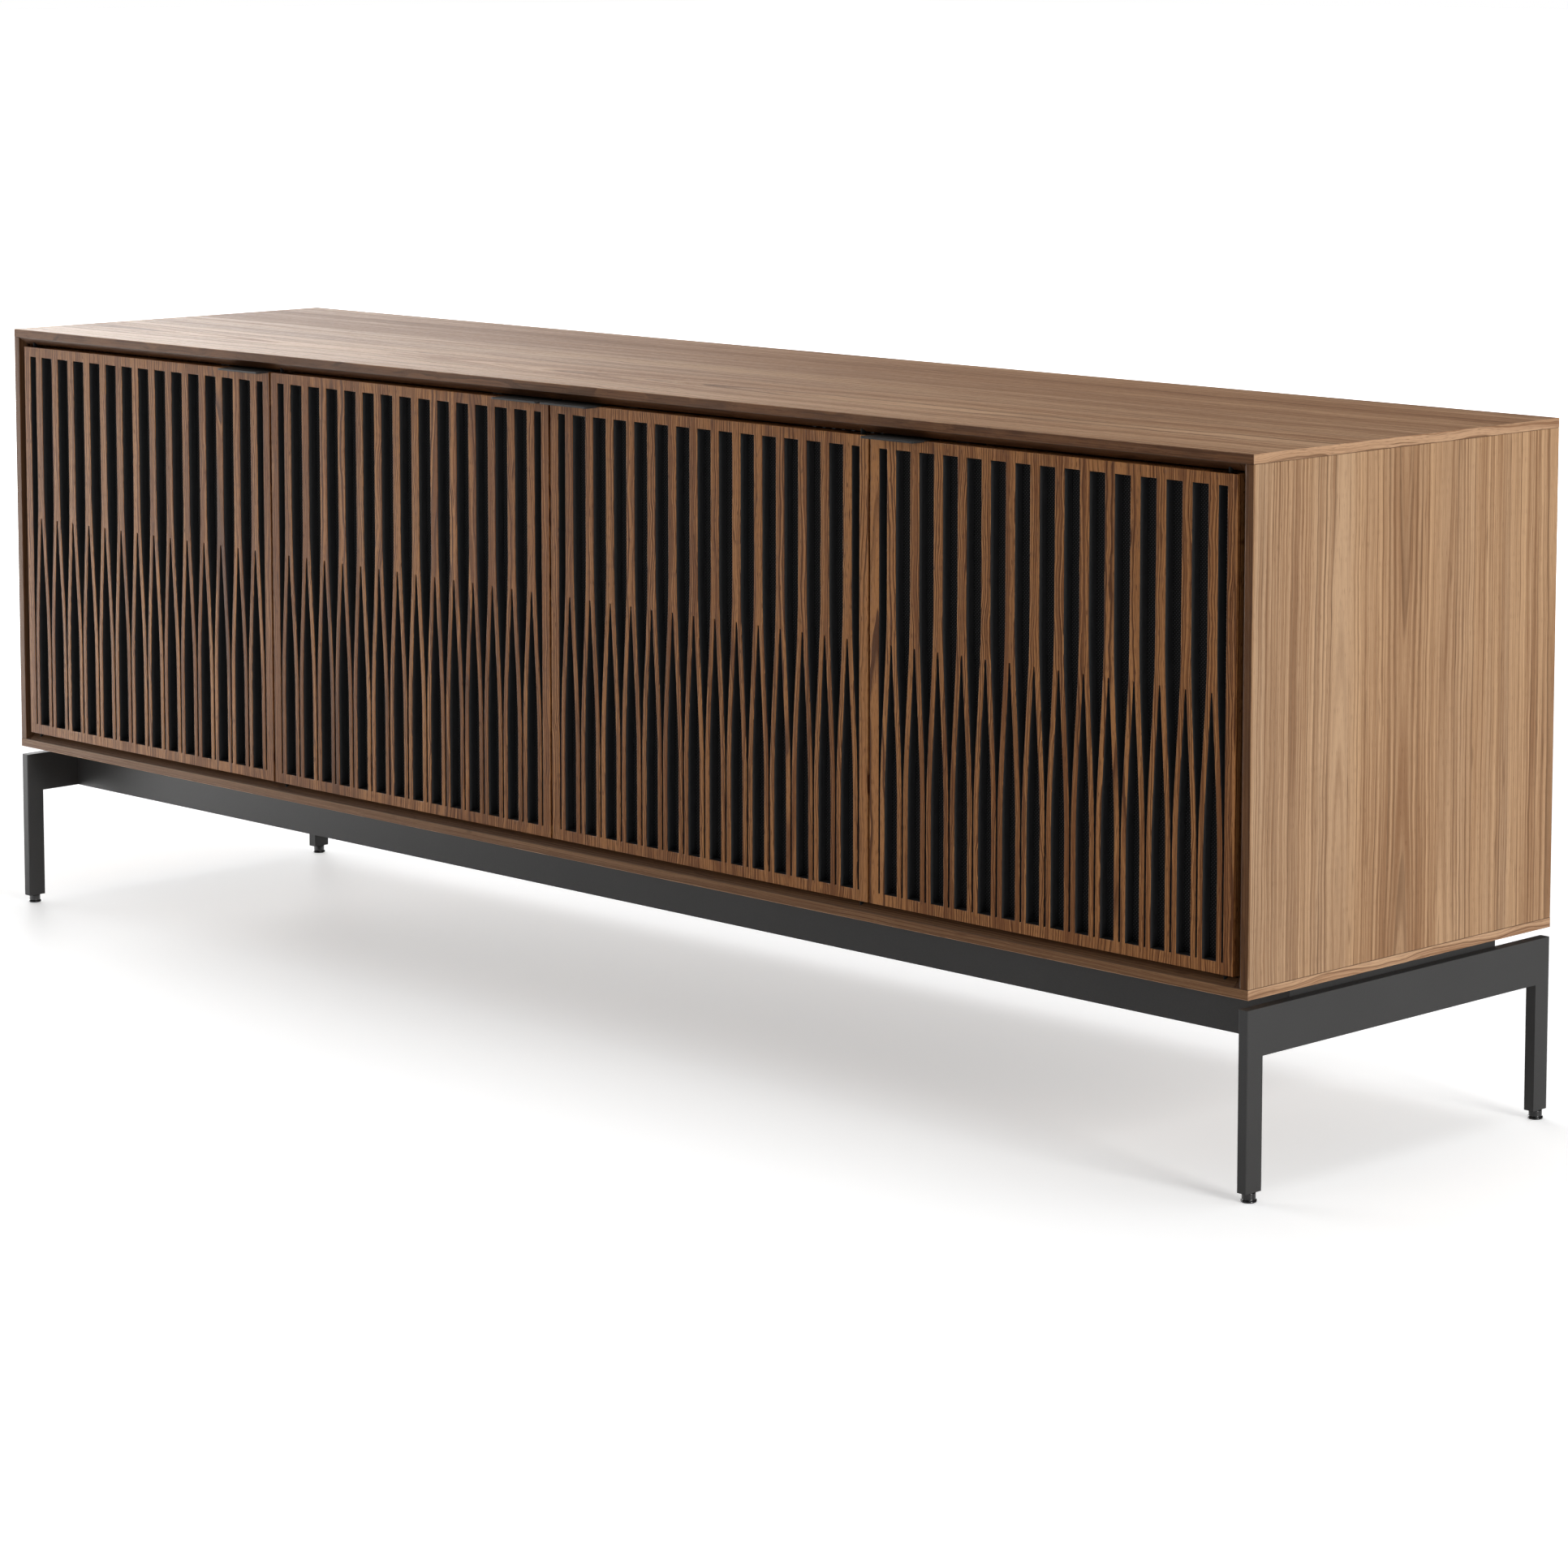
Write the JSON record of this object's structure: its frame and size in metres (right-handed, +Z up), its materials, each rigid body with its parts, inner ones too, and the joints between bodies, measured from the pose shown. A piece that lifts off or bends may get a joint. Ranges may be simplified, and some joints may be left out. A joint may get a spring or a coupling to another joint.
{
  "type": "media cabinet",
  "caption": "Low walnut media cabinet with cloth-backed grille doors on pivots, shelves inside, and a black steel base with levelling feet.",
  "frame": {"origin": "centre of the case's footprint, on the floor under the levelling feet", "axes": "+X along the width to the viewer's right, +Y towards the back (the doors face -Y), +Z up"},
  "size_m": [2.011, 0.5005, 0.729],
  "materials": {
    "walnut_case": "satin lacquered walnut veneer",
    "walnut_doors": "satin lacquered walnut",
    "black_board": "black laminated board, matt",
    "black_steel": "black powder coat, satin",
    "zinc_steel": "bright zinc plate",
    "black_screw": "black oxide",
    "black_plastic": "fine matt",
    "foot_plastic": "polished",
    "speaker_cloth": "plain-woven acoustic cloth"
  },
  "bodies": {
    "cabinet": {"top_panel": "walnut_case", "bottom_panel": "walnut_case", "side_panel_left": "walnut_case", "side_panel_right": "walnut_case", "divider_left": "walnut_case", "divider_right": "walnut_case", "shelf_left": "walnut_case", "shelf_centre": "walnut_case", "shelf_right": "walnut_case", "shelf_pins": "zinc_steel", "back_panel_left": "black_board", "back_panel_centre": "black_board", "back_panel_right": "black_board", "back_screws": "black_screw", "cable_grommets": "black_plastic", "pivot_pins": "black_screw", "door_catches": "black_plastic", "catch_screws": "zinc_steel", "beam_front": "black_steel", "beam_back": "black_steel", "cross_tube_left": "black_steel", "cross_tube_right": "black_steel", "cross_braces": "black_steel", "end_frame_left": "black_steel", "end_frame_right": "black_steel", "end_frame_bolts": "zinc_steel", "case_screws": "zinc_steel"},
    "door_1": {"door_1_grille": "walnut_doors", "door_1_frame": "walnut_doors", "door_1_cloth": "speaker_cloth", "door_1_pull": "black_steel", "door_1_pivot_plates": "zinc_steel", "door_1_strike": "zinc_steel", "door_1_screws": "zinc_steel"},
    "door_2": {"door_2_grille": "walnut_doors", "door_2_frame": "walnut_doors", "door_2_cloth": "speaker_cloth", "door_2_pull": "black_steel", "door_2_pivot_plates": "zinc_steel", "door_2_strike": "zinc_steel", "door_2_screws": "zinc_steel"},
    "door_3": {"door_3_grille": "walnut_doors", "door_3_frame": "walnut_doors", "door_3_cloth": "speaker_cloth", "door_3_pull": "black_steel", "door_3_pivot_plates": "zinc_steel", "door_3_strike": "zinc_steel", "door_3_screws": "zinc_steel"},
    "door_4": {"door_4_grille": "walnut_doors", "door_4_frame": "walnut_doors", "door_4_cloth": "speaker_cloth", "door_4_pull": "black_steel", "door_4_pivot_plates": "zinc_steel", "door_4_strike": "zinc_steel", "door_4_screws": "zinc_steel"},
    "foot_front_left": {"foot_front_left": "foot_plastic"},
    "foot_front_right": {"foot_front_right": "foot_plastic"},
    "foot_back_left": {"foot_back_left": "foot_plastic"},
    "foot_back_right": {"foot_back_right": "foot_plastic"}
  },
  "joints": [
    {"name": "door_1_hinge", "type": "hinge", "parent": "cabinet", "child": "door_1", "pos_m": [-0.9695, -0.2345, 0.4645], "axis": [0, 0, -1], "range_deg": [0, 105]},
    {"name": "door_2_hinge", "type": "hinge", "parent": "cabinet", "child": "door_2", "pos_m": [-0.477, -0.2345, 0.4645], "axis": [0, 0, -1], "range_deg": [0, 105]},
    {"name": "door_3_hinge", "type": "hinge", "parent": "cabinet", "child": "door_3", "pos_m": [0.477, -0.2345, 0.4645], "axis": [0, 0, 1], "range_deg": [0, 105]},
    {"name": "door_4_hinge", "type": "hinge", "parent": "cabinet", "child": "door_4", "pos_m": [0.9695, -0.2345, 0.4645], "axis": [0, 0, 1], "range_deg": [0, 105]},
    {"name": "foot_front_left_screw", "type": "slide", "parent": "cabinet", "child": "foot_front_left", "axis": [0, 0, -1], "range_m": [0, 0.01]},
    {"name": "foot_front_right_screw", "type": "slide", "parent": "cabinet", "child": "foot_front_right", "axis": [0, 0, -1], "range_m": [0, 0.01]},
    {"name": "foot_back_left_screw", "type": "slide", "parent": "cabinet", "child": "foot_back_left", "axis": [0, 0, -1], "range_m": [0, 0.01]},
    {"name": "foot_back_right_screw", "type": "slide", "parent": "cabinet", "child": "foot_back_right", "axis": [0, 0, -1], "range_m": [0, 0.01]}
  ]
}
